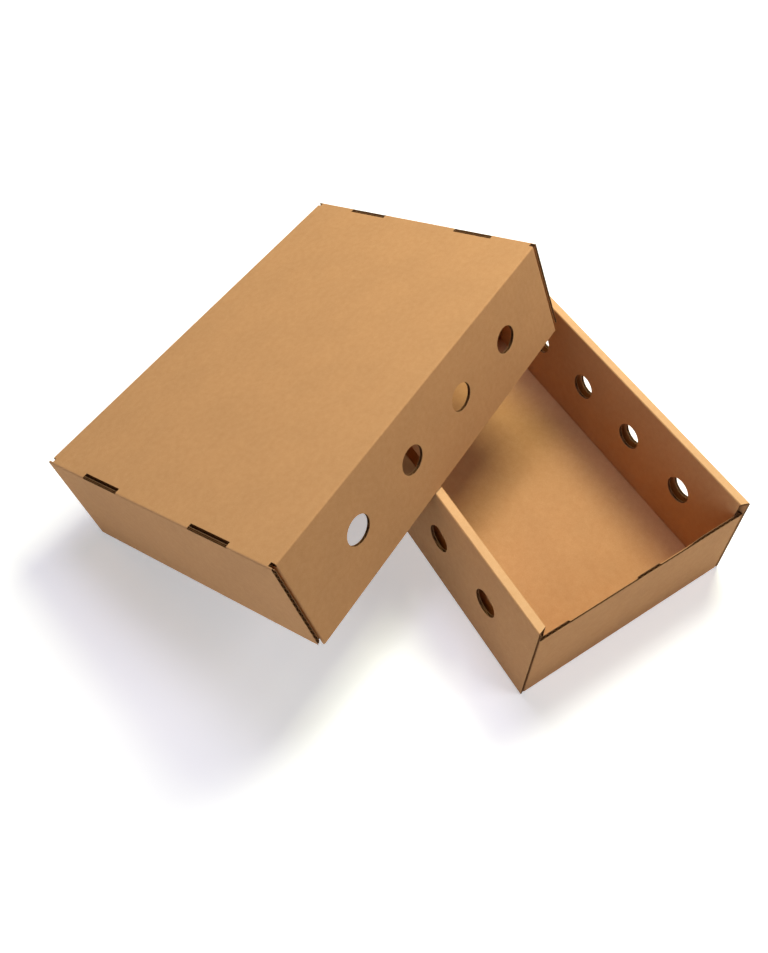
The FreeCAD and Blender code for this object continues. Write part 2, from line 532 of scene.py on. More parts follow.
def board_object(
    sheets: Sheets, name: str, finish: Finish, cutters: Sequence[bmesh.types.BMesh] = (),
) -> bpy.types.Object:
    """Make one object of a piece of board, cut through where it has holes.

    Args:
        sheets: Its sheets; they are freed.
        name: Name of the object.
        finish: Its materials.
        cutters: Closed meshes to cut away; they are freed.

    Returns:
        The object.
    """
    liners = joined(sheets.liners, name + "_liners")
    mediums = joined(sheets.mediums, name + "_medium")
    if cutters:
        tool = joined(cutters, name + "_cutter")
        for layer, bared in ((liners, Surface.LINER_EDGE), (mediums, Surface.FLUTE)):
            finish.dress(layer)
            cut(layer, tool, bared)
        bpy.data.objects.remove(tool)
    whole = bmesh.new()
    for layer in (liners, mediums):
        whole.from_mesh(layer.data)
        bpy.data.meshes.remove(layer.data)
    thing = joined([whole], name)
    finish.dress(thing)
    return thing


# Materials


def linear(code: str) -> tuple[float, float, float, float]:
    """Turn an sRGB hex value into the linear colour that the shader takes.

    Args:
        code: The value, as #RRGGBB.

    Returns:
        Red, green, blue and alpha.
    """
    channels = [int(code[index:index + 2], 16) / 255 for index in (1, 3, 5)]
    lit = [value / 12.92 if value <= 0.04045 else ((value + 0.055) / 1.055) ** 2.4
           for value in channels]
    return lit[0], lit[1], lit[2], 1.0


def add_node(
    tree: bpy.types.NodeTree, kind: str, settings: dict[str, object],
    links: Optional[dict[str, bpy.types.NodeSocket]] = None,
) -> bpy.types.Node:
    """Add a node with its settings and the links into it.

    Args:
        tree: The material's node tree.
        kind: The node's type.
        settings: Values for its attributes, or for its inputs where none has that name.
        links: Sockets that feed its inputs, by input name or by its number as text.

    Returns:
        The new node.
    """
    node = tree.nodes.new(kind)
    for name, value in settings.items():
        if hasattr(node, name):
            setattr(node, name, value)
        else:
            node.inputs[int(name) if name.isdigit() else name].default_value = value
    for name, socket in (links or {}).items():
        tree.links.new(socket, node.inputs[int(name) if name.isdigit() else name])
    return node


def maths(
    tree: bpy.types.NodeTree, operation: str, *values: float | bpy.types.NodeSocket,
) -> bpy.types.NodeSocket:
    """Add a node that reckons with numbers or sockets.

    Args:
        tree: The material's node tree.
        operation: Name of what it does.
        values: Its numbers or the sockets that feed it, in order.

    Returns:
        The socket with the result.
    """
    fixed = {str(index): value for index, value in enumerate(values)
             if not isinstance(value, bpy.types.NodeSocket)}
    linked = {str(index): value for index, value in enumerate(values)
              if isinstance(value, bpy.types.NodeSocket)}
    node = add_node(tree, "ShaderNodeMath", {"operation": operation, **fixed}, linked)
    return node.outputs["Value"]


def noise(
    tree: bpy.types.NodeTree, place: bpy.types.NodeSocket, spacing: float, detail: float,
    roughness: float, distortion: float = 0.0,
) -> bpy.types.NodeSocket:
    """Add a noise.

    Args:
        tree: The material's node tree.
        place: Where it is read.
        spacing: How far its cells lie apart, in the units of the place.
        detail: How many finer layers it has.
        roughness: Strength of each finer layer.
        distortion: How far it is warped.

    Returns:
        The socket with its value.
    """
    settings = {"Scale": 1 / spacing, "Detail": detail, "Roughness": roughness,
                "Distortion": distortion}
    return add_node(tree, "ShaderNodeTexNoise", settings, {"Vector": place}).outputs["Fac"]


def ranged(
    tree: bpy.types.NodeTree, value: bpy.types.NodeSocket, span: tuple[float, float],
    into: tuple[float, float] = (0.0, 1.0),
) -> bpy.types.NodeSocket:
    """Stretch the span of a value into another span.

    Args:
        tree: The material's node tree.
        value: The socket with the value.
        span: Where the value starts and ends.
        into: Where the result starts and ends.

    Returns:
        The socket with the result.
    """
    settings = {"From Min": span[0], "From Max": span[1], "To Min": into[0], "To Max": into[1]}
    return add_node(tree, "ShaderNodeMapRange", settings, {"Value": value}).outputs["Result"]


def bumped(
    tree: bpy.types.NodeTree, height: bpy.types.NodeSocket, strength: float, rise_mm: float,
    under: Optional[bpy.types.NodeSocket] = None,
) -> bpy.types.NodeSocket:
    """Add a relief.

    Args:
        tree: The material's node tree.
        height: The socket with the height.
        strength: Share of the relief that shows.
        rise_mm: Height of the relief.
        under: Normal of the relief that this one lies on, if there is one.

    Returns:
        The socket with the normal.
    """
    links = {"Height": height}
    if under is not None:
        links["Normal"] = under
    settings = {"Strength": strength, "Distance": rise_mm * MM}
    return add_node(tree, "ShaderNodeBump", settings, links).outputs["Normal"]


def new_material(name: str) -> tuple[bpy.types.Material, bpy.types.NodeTree]:
    """Make a material with an empty node tree.

    Args:
        name: Name of the material.

    Returns:
        The material and its node tree.
    """
    material = bpy.data.materials.new(name)
    material.use_nodes = True
    material.node_tree.nodes.clear()
    return material, material.node_tree


def paper_shader(
    tree: bpy.types.NodeTree, colour: bpy.types.NodeSocket, normal: bpy.types.NodeSocket,
    roughness: float, specular: float,
) -> None:
    """Add the matt surface of a paper and the material's output.

    Args:
        tree: The material's node tree.
        colour: The socket with the colour.
        normal: The socket with the relief's normal.
        roughness: Of the surface.
        specular: How much it reflects.
    """
    shader = add_node(
        tree, "ShaderNodeBsdfPrincipled",
        {"Roughness": roughness, "Specular IOR Level": specular, "IOR": 1.5},
        {"Base Color": colour, "Normal": normal})
    add_node(tree, "ShaderNodeOutputMaterial", {}, {"Surface": shader.outputs["BSDF"]})


@dataclass(frozen=True)
class KraftPaper:
    """Unbleached kraft paper, pressed from long pine fibres on a wire.

    Attributes:
        name: Name of the material.
        tone: Its middle colour.
        pale: Colour of its paler clouds and fibres.
        deep: Colour of its darker clouds and fibres.
        cloud_mm: Size of the clouds where fibres lie thicker or thinner.
        fibre_mm: Spacing of the single fibres, drawn coarser than the real 0.05 mm to show.
        flutes: Directions across which the flutes press faint lines into the liner.
        washboard: Strength of those lines.
        placing: From the sheet's own frame to the part's.
        roughness: Of the matt uncoated surface.
    """

    name: str
    tone: str = "#C89361"
    pale: str = "#CF9C6A"
    deep: str = "#B57E4E"
    cloud_mm: float = 6.0
    fibre_mm: float = 0.55
    flutes: Flutes = Flutes.PROFILE
    washboard: float = 0.35
    placing: Matrix = field(default_factory=lambda: UNTURNED)
    roughness: float = 0.86

    def build(self) -> bpy.types.Material:
        """Build the material.

        Returns:
            The material.
        """
        material, tree = new_material(self.name)
        place = add_node(tree, "ShaderNodeTexCoord", {})
        own = add_node(
            tree, "ShaderNodeMapping",
            {"vector_type": "TEXTURE", "Location": self.placing.to_translation(),
             "Rotation": self.placing.to_euler(), "Scale": (MM, MM, MM)},
            {"Vector": place.outputs["Object"]})
        sheet = own.outputs["Vector"]
        clouds = noise(tree, sheet, self.cloud_mm, 4.0, 0.6)
        drifts = noise(tree, sheet, self.cloud_mm * 7, 2.0, 0.5)
        fibres = noise(tree, sheet, self.fibre_mm, 3.0, 0.7, 0.6)
        clouded = add_node(
            tree, "ShaderNodeMix",
            {"data_type": "RGBA", "6": linear(self.tone), "7": linear(self.pale)},
            {"0": ranged(tree, clouds, (0.3, 0.7))})
        fibred = add_node(
            tree, "ShaderNodeMix",
            {"data_type": "RGBA", "7": linear(self.deep)},
            {"0": ranged(tree, fibres, (0.35, 0.75), (0.0, 0.55)), "6": clouded.outputs[2]})
        toned = add_node(
            tree, "ShaderNodeVectorMath", {"operation": "SCALE"},
            {"0": fibred.outputs[2],
             "Scale": ranged(tree, drifts, (0.35, 0.65), (0.98, 1.02))})
        across = add_node(
            tree, "ShaderNodeVectorMath",
            {"operation": "DOT_PRODUCT", "1": self.flutes.value}, {"0": sheet})
        phase = maths(tree, "MULTIPLY", across.outputs["Value"], 2 * math.pi / BOARD.pitch)
        ridges = maths(tree, "MULTIPLY", maths(tree, "SINE", phase), drifts)
        relief = bumped(tree, ridges, self.washboard, 0.06)
        relief = bumped(tree, clouds, 0.5, 0.12, relief)
        relief = bumped(tree, fibres, 0.6, 0.05, relief)
        paper_shader(tree, toned.outputs["Vector"], relief, self.roughness, 0.25)
        return material


@dataclass(frozen=True)
class CutPaper:
    """Paper at a die-cut edge: torn fibres, rougher and duller than the sheet's face.

    Attributes:
        name: Name of the material.
        tone: Its middle colour.
        deep: Colour of the shaded tears.
        fibre_mm: Spacing of the torn fibres.
    """

    name: str
    tone: str
    deep: str
    fibre_mm: float = 0.7

    def build(self) -> bpy.types.Material:
        """Build the material.

        Returns:
            The material.
        """
        material, tree = new_material(self.name)
        place = add_node(tree, "ShaderNodeTexCoord", {})
        fibres = noise(tree, place.outputs["Object"], self.fibre_mm * MM, 3.0, 0.65)
        tone = add_node(
            tree, "ShaderNodeMix",
            {"data_type": "RGBA", "6": linear(self.tone), "7": linear(self.deep)}, {"0": fibres})
        paper_shader(tree, tone.outputs[2], bumped(tree, fibres, 0.7, 0.1), 0.95, 0.15)
        return material


def finishes(
    piece: str, walls: str, placing: Matrix, rubbed: Optional[bpy.types.Material] = None,
) -> tuple[Finish, Finish]:
    """Make the two finishes of a sheet's board.

    Args:
        piece: Name of the sheet.
        walls: Name of its walls whose flutes follow each other on the level.
        placing: From the sheet's own frame to the part's.
        rubbed: Paler liner that paints a highlight on its upward-facing rims, if it has any.

    Returns:
        The finish of the profile's panels, and that of the walls.
    """
    edge = CutPaper(piece + "_liner_edge", "#A9805A", "#6E4E30").build()
    flute = CutPaper(piece + "_fluting_paper", "#96693F", "#654224").build()
    panel = KraftPaper(piece + "_kraft_liner", placing=placing).build()
    wall = KraftPaper(f"{piece}_{walls}_kraft_liner", flutes=Flutes.LEVEL, placing=placing).build()
    return Finish(panel, edge, flute, rubbed), Finish(wall, edge, flute)


# Pieces


@dataclass(frozen=True)
class Vents:
    """The row of round vent holes in a long wall."""

    pitch: float
    count: int = 4
    radius: float = 14.0

    def offsets(self) -> list[float]:
        """Places of the holes along the wall, from its middle."""
        return [(index - (self.count - 1) / 2) * self.pitch for index in range(self.count)]


PANEL_GAP = 0.6
SHEET_GAP = 0.4
END_GAP = 1.0
CORNER_TAB = 45.0
CORNER_TAPER = 9.0
FOLD_PIECE = BOARD.fold_radius + BOARD.fold_reach + 0.2
SLOT_PIECE = 2 * FOLD_PIECE


def finish_object(thing: bpy.types.Object, node: str) -> None:
    """Shade a finished piece, tie it to its body and let it stand for its solid.

    Args:
        thing: The piece.
        node: The solid that it replaces, whose material slot it takes.
    """
    data = thing.data
    data.polygons.foreach_set("use_smooth", [True] * len(data.polygons))
    data.set_sharp_from_angle(angle=math.radians(SHARP_ANGLE))
    data.update()
    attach(thing, "root")
    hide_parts(node)


@dataclass
class BaseTray:
    """The open tray. Sizes are in millimetres, from the middle of its underside.

    Attributes:
        width, length: Over all.
        side_height, end_height: Of the double long walls and of the single end walls.
        foot: Thickness of a long wall at the floor.
        rim_cut: How far a long wall's inner panel stands back from the tray's ends.
        rim_facing: Least upward slope of a face that counts as the rim and gets the painted
            highlight.
        lock_width, lock_offset: Of the locking tabs, and their places from the middle.
        vents, vent_height: The vent holes, and the height of their centres.
        crushed: Start, length and fade of each crushed stretch of an end wall's top edge.
        crushed_edge, crushed_depth: Thickness left in such a stretch, and how deep it goes.
        crushed_start: How soon a crushed stretch begins.
        crushed_rows, crushed_bow: Rows that shape it, and how it bows between them.
        node: The solid that the tray stands for.
    """

    width: float = 250.0
    length: float = 364.0
    side_height: float = 114.0
    end_height: float = 98.0
    foot: float = 15.2
    rim_cut: float = 4.0
    rim_facing: float = 0.9
    lock_width: float = 36.0
    lock_offset: float = 90.0
    vents: Vents = Vents(76.5)
    vent_height: float = 58.5
    crushed: tuple[tuple[float, float, float], ...] = ((36.0, 80.0, 2.0), (141.0, 56.0, 26.0))
    crushed_edge: float = 1.3
    crushed_depth: float = 3.0
    crushed_start: float = 2.0
    crushed_rows: tuple[float, ...] = (1.0, 0.5, 0.2, 0.0)
    crushed_bow: float = 1.5
    node: str = "base_tray"

    def __post_init__(self) -> None:
        """Work out the sizes that follow from the board."""
        self.rim = 3 * BOARD.thickness + 2 * SHEET_GAP
        self.half_width = self.width / 2
        self.half_length = self.length / 2
        self.slope = (self.foot - self.rim) / (self.side_height - BOARD.thickness)
        self.rim_level = self.side_height - 0.1

    def inner_face(self, height: float) -> float:
        """Distance from the tray's middle plane to a long wall's inner face at a height."""
        return self.half_width - self.rim - self.slope * (self.side_height - height)

    def build(self) -> bpy.types.Object:
        """Build the tray.

        Returns:
            The finished object.
        """
        # Paler liner colours that paint a highlight on the long walls' upward-facing rims.
        rubbed = KraftPaper("tray_rim_painted_highlight_liner", "#E3B07B", "#E9B986", "#D29D69").build()
        level, upright = finishes("tray", "end", UNTURNED, rubbed)
        body = board_object(
            self._walls_and_floor(), "tray_walls_and_floor", level, self._cutters())
        self._rub_rims(body)
        both_ends = self._end(-1)
        both_ends += self._end(1)
        ends = board_object(both_ends, "tray_end_walls", upright)
        locks = board_object(self._locks(), "tray_locking_tabs", level)
        for thing in (body, ends, locks):
            finish_object(thing, self.node)
            LOG.info("%s: %d faces", thing.name, len(thing.data.polygons))
        return body

    def _rub_rims(self, body: bpy.types.Object) -> None:
        """Paint a highlight on the flat upper rims of the long walls with a paler liner.

        Args:
            body: The walls and the floor.
        """
        # Upward-facing faces on the rims take the paler liner: a painted highlight.
        for polygon in body.data.polygons:
            on_rim = polygon.center.z > self.rim_level * MM and polygon.normal.z > self.rim_facing
            if on_rim and polygon.material_index == Surface.LINER.value:
                polygon.material_index = Surface.RUBBED.value

    def _walls_and_floor(self) -> Sheets:
        """Build the floor and both double walls: one profile across the tray, run along it.

        Returns:
            Their sheets.
        """
        foot = BOARD.thickness + PANEL_GAP
        inner_foot = self.inner_face(foot)
        inner_top = self.inner_face(self.side_height)
        corners = [
            (-inner_foot, foot),
            (-inner_top, self.side_height),
            (-self.half_width, self.side_height),
            (-self.half_width, 0.0),
            (self.half_width, 0.0),
            (self.half_width, self.side_height),
            (inner_top, self.side_height),
            (inner_foot, foot),
        ]
        path = FoldedPath(corners, BOARD.fold_radius, left=True)
        breaks = path.breaks
        total = path.length
        rim_start, rim_end, floor_start = breaks[1], breaks[4], breaks[6]

        def inset(distance: float) -> float:
            """Find how far the board's edge stands back from the tray's end.

            Args:
                distance: Millimetres along the profile.

            Returns:
                The distance in millimetres.
            """
            from_free = min(distance, total - distance)
            if from_free < rim_start:
                return self.rim_cut
            if from_free < rim_end:
                return self.rim_cut * (1 - (from_free - rim_start) / (rim_end - rim_start))
            if from_free < floor_start - JUMP / 2:
                return 0.0
            return FOLD_PIECE

        place = profile_place(UNTURNED)
        levels: list[Level] = [
            lambda s: (-self.half_length + inset(s), 1.0),
            lambda s: (self.half_length - inset(s), 1.0),
        ]
        return board_sheets(path, levels, place, jumps(path))

    def _cutters(self) -> list[bmesh.types.BMesh]:
        """Build the cutters for the vent holes and for the locking tabs' slots.

        Returns:
            Their meshes.
        """
        place = plain_place(UNTURNED)
        cutters = []
        for y in self.vents.offsets():
            start = (-self.half_width - 1, y, self.vent_height)
            cutters.append(drill_mesh(start, (self.width + 2, 0, 0), self.vents.radius, place))
        half = self.lock_width / 2 + SHEET_GAP
        board = BOARD.thickness
        for side in (-1, 1):
            near = side * self.inner_face(board)
            far = side * (self.inner_face(board) + board * math.hypot(1, self.slope) + SHEET_GAP)
            for middle in (-self.lock_offset, self.lock_offset):
                low = (min(near, far), middle - half, -1)
                high = (max(near, far), middle + half, board + PANEL_GAP / 2)
                cutters.append(box_mesh(low, high, place))
        return cutters

    def _locks(self) -> Sheets:
        """Build the locking tabs that carry the leaning panels down into the floor.

        Returns:
            Their sheets.
        """
        place = profile_place(UNTURNED)
        half = self.lock_width / 2
        sheets = Sheets()
        top = BOARD.thickness + PANEL_GAP
        for side in (-1, 1):
            for middle in (-self.lock_offset, self.lock_offset):
                corners = [(side * self.inner_face(top), top),
                           (side * self.inner_face(SHEET_GAP), SHEET_GAP)]
                path = FoldedPath(corners, BOARD.fold_radius, left=side > 0)
                sheets += plain_piece(path, middle - half, middle + half, place)
        return sheets

    def _end(self, side: int) -> Sheets:
        """One end wall with its corner tabs, and its fold to the floor.

        Args:
            side: -1 for the near end and 1 for the far one.

        Returns:
            Its sheets.
        """
        board = BOARD.thickness
        face = self.half_width - board - SHEET_GAP
        free = self.half_length - CORNER_TAB
        corners = [(-face, free), (-face, self.half_length), (face, self.half_length), (face, free)]
        path = FoldedPath(corners, BOARD.fold_radius, left=False)
        total = path.length
        tab = path.breaks[1]
        corner, opposite = path.breaks[2], path.breaks[3]
        wall_start = corner - BOARD.fold_radius - board - SHEET_GAP

        def taper(distance: float) -> float:
            """How much lower or higher a corner tab's edge is than the wall's."""
            from_free = min(distance, total - distance)
            return CORNER_TAPER * (1 - from_free / tab) if from_free < tab else 0.0

        def crush(distance: float) -> float:
            """Find how far the top edge is crushed, with soft ends to each stretch.

            Args:
                distance: Millimetres along the profile.

            Returns:
                The share of its thickness that is left.
            """
            shrink = 1.0
            for start, length, fade in self.crushed:
                into = distance - wall_start - start
                blend = min(eased(into / self.crushed_start), eased((length - into) / fade))
                shrink = min(shrink, 1 - blend * (1 - self.crushed_edge / board))
            return shrink

        def foot(distance: float) -> float:
            """Find the lower edge, over the piece that folds down to the floor.

            Args:
                distance: Millimetres along the profile.

            Returns:
                Its height in millimetres.
            """
            if corner + JUMP / 2 < distance < opposite - JUMP / 2:
                return FOLD_PIECE
            return BOARD.fold_room + taper(distance)

        place: Place = lambda a, b, e: Vector((a, side * b, e)) * MM
        levels: list[Level] = [lambda s: (foot(s), 1.0)]
        for part in self.crushed_rows:
            levels.append(lambda s, p=part: (
                self.end_height - taper(s) - self.crushed_depth * p,
                1 - (1 - crush(s)) * (1 - p) ** self.crushed_bow))
        extra = jumps(path)
        for start, length, fade in self.crushed:
            for share in (0.0, 0.25, 0.5, 0.75, 1.0):
                extra.append(wall_start + start + self.crushed_start * share)
                extra.append(wall_start + start + length - fade * share)
        sheets = board_sheets(path, levels, place, extra)
        fold = FoldedPath(
            [(self.half_length, FOLD_PIECE), (self.half_length, 0.0),
             (self.half_length - FOLD_PIECE, 0.0)],
            BOARD.fold_radius, left=False)
        fold_place: Place = lambda a, b, e: Vector((e, side * a, b)) * MM
        reach = face - BOARD.fold_radius / 2
        sheets += plain_piece(fold, -reach, reach, fold_place)
        return sheets


@dataclass
class LidTray:
    """The lid, drawn level from its near right top corner and then laid over the tray.

    Attributes:
        length, width: Over all, in millimetres as all sizes here.
        end_depth, side_depth: Of the double end walls and of the single long walls.
        rim: Thickness of an end wall.
        side_inset: How far a long wall's corners stand in from the lid's ends.
        slot_length, slot_offset: Of the slots, and their places from the middle.
        slot_reach, slot_drop: How far a slot goes into the top, and down the end wall.
        lock_height, lock_drop: Where a locking tab begins and ends under the top.
        vents, vent_depth: The vent holes, and the depth of their centres.
        turn: From the tray's long side, in degrees.
        rim_touch, end_touch: Where it lies on the tray's rim and on the tray's far end wall.
        rest_gap: Air left at the corner on the ground.
        node: The solid that the lid stands for.
    """

    length: float = 400.0
    width: float = 286.0
    end_depth: float = 106.0
    side_depth: float = 111.0
    rim: float = 11.6
    side_inset: float = 4.6
    slot_length: float = 46.0
    slot_offset: float = 69.5
    slot_reach: float = 5.6
    slot_drop: float = 1.0
    lock_height: float = 12.0
    lock_drop: float = 5.0
    vents: Vents = Vents(79.0)
    vent_depth: float = 54.5
    turn: float = 24.035
    rim_touch: float = 170.34
    end_touch: float = 132.96
    rest_gap: float = 0.1
    node: str = "lid_tray"

    def placing(self, tray: BaseTray) -> Matrix:
        """Find how the lid lies: on the tray's rim, its far end wall and the ground.

        Args:
            tray: The tray under it.

        Returns:
            From the lid's level frame to the part's, in millimetres.
        """
        on_rim = Vector((self.rim_touch, BOARD.thickness, -self.side_depth))
        on_end = Vector((self.length - self.rim, self.end_touch, -self.end_depth))
        on_ground = Vector((self.side_inset + BOARD.fold_room, self.width, -self.side_depth))
        to_rim = on_rim - on_ground
        to_end = on_end - on_ground
        normal = to_rim.cross(to_end)
        level = to_end.cross(normal) * tray.side_height - to_rim.cross(normal) * tray.end_height
        level = level / normal.dot(normal)
        up = level + normal.normalized() * math.sqrt(1 - level.dot(level))
        pitch = math.asin(up.x)
        roll = math.asin(up.y / math.cos(pitch))
        rotation = (Matrix.Rotation(math.radians(self.turn), 4, "Z")
                    @ Matrix.Rotation(-pitch, 4, "Y") @ Matrix.Rotation(roll, 4, "X"))
        shift = Vector((
            -tray.half_width - (rotation @ on_rim).x,
            tray.half_length - (rotation @ on_end).y,
            self.rest_gap - (rotation @ on_ground).z,
        ))
        return Matrix.Translation(shift) @ rotation

    def build(self, tray: BaseTray) -> bpy.types.Object:
        """Build the lid over the tray.

        Args:
            tray: The tray under it.

        Returns:
            The finished object.
        """
        laid = self.placing(tray)
        metric = Matrix.Translation(laid.to_translation() * MM) @ laid.to_3x3().to_4x4()
        level, upright = finishes("lid", "side", metric)
        top = board_object(
            self._top_and_ends(laid), "lid_top_and_end_walls", level, self._slots(laid))
        both_sides = self._side(laid, 0)
        both_sides += self._side(laid, 1)
        sides = board_object(both_sides, "lid_long_walls", upright, self._drills(laid))
        slot_edges = board_object(self._slot_edges(laid), "lid_slot_edges", level)
        locks = board_object(self._locks(laid), "lid_locking_tabs", level)
        for thing in (top, sides, slot_edges, locks):
            finish_object(thing, self.node)
            LOG.info("%s: %d faces", thing.name, len(thing.data.polygons))
        return top

    def _top_and_ends(self, laid: Matrix) -> Sheets:
        """Build the top panel and both double end walls: one profile along the lid.

        Args:
            laid: How the lid lies.

        Returns:
            Their sheets.
        """
        top_gap = -BOARD.thickness - PANEL_GAP
        corners = [
            (self.rim, top_gap),
            (self.rim, -self.end_depth),
            (0.0, -self.end_depth),
            (0.0, 0.0),
            (self.length, 0.0),
            (self.length, -self.end_depth),
            (self.length - self.rim, -self.end_depth),
            (self.length - self.rim, top_gap),
        ]
        path = FoldedPath(corners, BOARD.fold_radius, left=False)
        breaks = path.breaks
        total = path.length
        outer_start = breaks[4]
        top_start = breaks[6]

        def inset(distance: float) -> float:
            """Find how far the board's edge stands back from the long wall's face.

            Args:
                distance: Millimetres along the profile.

            Returns:
                The distance in millimetres.
            """
            from_free = min(distance, total - distance)
            if from_free < outer_start:
                return BOARD.thickness + END_GAP
            if from_free < top_start - JUMP / 2:
                return 0.0
            return FOLD_PIECE

        place = profile_place(laid)
        levels: list[Level] = [
            lambda s: (inset(s), 1.0),
            lambda s: (self.width - inset(s), 1.0),
        ]
        return board_sheets(path, levels, place, jumps(path))

    def _slot_places(self) -> list[tuple[float, float, int]]:
        """Middle of each slot along its end wall, that wall's place, and the way inward."""
        return [(self.width / 2 + side * self.slot_offset, start, inward)
                for side in (-1, 1) for start, inward in ((0.0, 1), (self.length, -1))]

    def _slots(self, laid: Matrix) -> list[bmesh.types.BMesh]:
        """Build the cutters for the slots along the short top folds.

        Args:
            laid: How the lid lies.

        Returns:
            Their meshes.
        """
        place = plain_place(laid)
        half = self.slot_length / 2
        deep = -BOARD.thickness - PANEL_GAP / 2
        cutters = []
        for middle, start, inward in self._slot_places():
            wall = sorted((start - inward, start + inward * (BOARD.thickness + SHEET_GAP / 2)))
            over = sorted((start + inward, start + inward * self.slot_reach))
            cutters.append(box_mesh((wall[0], middle - half, -SLOT_PIECE),
                                    (wall[1], middle + half, deep), place))
            cutters.append(box_mesh((min(wall[0], over[0]), middle - half, deep),
                                    (max(wall[1], over[1]), middle + half, 1), place))
        return cutters

    def _slot_edges(self, laid: Matrix) -> Sheets:
        """Build the end walls' cut upper edges in the slots, where no fold has pressed the board.

        Args:
            laid: How the lid lies.

        Returns:
            Their sheets.
        """
        place = profile_place(laid)
        half = self.slot_length / 2
        sheets = Sheets()
        for middle, start, inward in self._slot_places():
            path = FoldedPath([(start, -SLOT_PIECE), (start, -self.slot_drop)],
                              BOARD.fold_radius, left=inward < 0)
            sheets += plain_piece(path, middle - half, middle + half, place)
        return sheets

    def _side(self, laid: Matrix, index: int) -> Sheets:
        """One long wall with its corner tabs, and its fold to the top.

        Args:
            laid: How the lid lies.
            index: 0 for the near right wall and 1 for the hidden one.

        Returns:
            Its sheets.
        """
        near = self.side_inset
        far = self.length - self.side_inset
        corners = [(near, CORNER_TAB), (near, 0.0), (far, 0.0), (far, CORNER_TAB)]
        path = FoldedPath(corners, BOARD.fold_radius, left=True)
        total = path.length
        tab, corner, opposite = path.breaks[1], path.breaks[2], path.breaks[3]
        foot = self.end_depth - BOARD.thickness - SHEET_GAP

        def bottom(distance: float) -> float:
            """Find the lower edge: a corner tab ends above the end wall's rim.

            Args:
                distance: Millimetres along the profile.

            Returns:
                Its height in millimetres.
            """
            from_free = min(distance, total - distance)
            if from_free < tab - JUMP / 2:
                return -foot + CORNER_TAPER * (1 - from_free / tab)
            return -self.side_depth

        def head(distance: float) -> float:
            """Find the upper edge, under the piece that folds over to the top.

            Args:
                distance: Millimetres along the profile.

            Returns:
                Its height in millimetres.
            """
            if corner + JUMP / 2 < distance < opposite - JUMP / 2:
                return -FOLD_PIECE
            return -BOARD.fold_room

        width = self.width
        place: Place = lambda a, b, e: (
            laid @ Vector((a, width - b if index else b, e))) * MM
        levels: list[Level] = [
            lambda s: (bottom(s), 1.0),
            lambda s: (head(s), 1.0),
        ]
        sheets = board_sheets(path, levels, place, jumps(path))
        fold = FoldedPath(
            [(0.0, -FOLD_PIECE), (0.0, 0.0), (FOLD_PIECE, 0.0)],
            BOARD.fold_radius, left=False)
        fold_place: Place = lambda a, b, e: (
            laid @ Vector((e, width - a if index else a, b))) * MM
        sheets += plain_piece(
            fold, near + BOARD.fold_radius / 2, far - BOARD.fold_radius / 2, fold_place)
        return sheets

    def _drills(self, laid: Matrix) -> list[bmesh.types.BMesh]:
        """Build the cutters for the vent holes through both long walls.

        Args:
            laid: How the lid lies.

        Returns:
            Their meshes.
        """
        place = plain_place(laid)
        return [
            drill_mesh((self.length / 2 + x, -1, -self.vent_depth), (0, self.width + 2, 0),
                       self.vents.radius, place)
            for x in self.vents.offsets()
        ]

    def _locks(self, laid: Matrix) -> Sheets:
        """Build the locking tabs that bend outwards below the slots.

        Args:
            laid: How the lid lies.

        Returns:
            Their sheets.
        """
        place = profile_place(laid)
        half = self.slot_length / 2 - SHEET_GAP
        near = BOARD.thickness + SHEET_GAP
        sheets = Sheets()
        for middle, start, inward in self._slot_places():
            corners = [
                (start + inward * (self.rim - BOARD.thickness), -self.lock_height),
                (start + inward * near, -self.lock_drop),
            ]
            path = FoldedPath(corners, BOARD.fold_radius, left=inward < 0)
            sheets += plain_piece(path, middle - half, middle + half, place)
        return sheets


# Studio


@dataclass(frozen=True)
class Camera:
    """The viewpoint, found from the box's edges and vent holes.

    Attributes:
        place: Where it stands, in millimetres.
        right: Direction of the picture's right.
        down: Direction of the picture's lower side.
        focal_px: Focal length in pixels of the picture.
        centre_px: Where the optical axis meets the picture.
        sensor_mm: Width of the sensor.
    """

    place: tuple[float, float, float] = (-460.0, -426.7, 893.1)
    right: tuple[float, float, float] = (0.8223, -0.5597, 0.103)
    down: tuple[float, float, float] = (-0.3328, -0.6197, -0.7107)
    focal_px: float = 1011.9
    centre_px: tuple[float, float] = (468.5, 281.6)
    sensor_mm: float = 36.0

    def build(self) -> bpy.types.Object:
        """Build the camera and make it the scene's own.

        Returns:
            The camera.
        """
        data = bpy.data.cameras.new("camera")
        data.sensor_fit = "HORIZONTAL"
        data.sensor_width = self.sensor_mm
        data.lens = self.focal_px / IMAGE_WIDTH * self.sensor_mm
        data.shift_x = (IMAGE_WIDTH / 2 - self.centre_px[0]) / IMAGE_WIDTH
        data.shift_y = (self.centre_px[1] - IMAGE_HEIGHT / 2) / IMAGE_WIDTH
        data.clip_start = 0.01
        data.clip_end = 20.0
        right = Vector(self.right).normalized()
        back = right.cross(-Vector(self.down)).normalized()
        up = back.cross(right)
        turn = Matrix((right, up, back)).transposed().to_4x4()
        camera = bpy.data.objects.new("camera", data)
        camera.matrix_world = Matrix.Translation(Vector(self.place) * MM) @ turn
        bpy.context.scene.collection.objects.link(camera)
        bpy.context.scene.camera = camera
        return camera


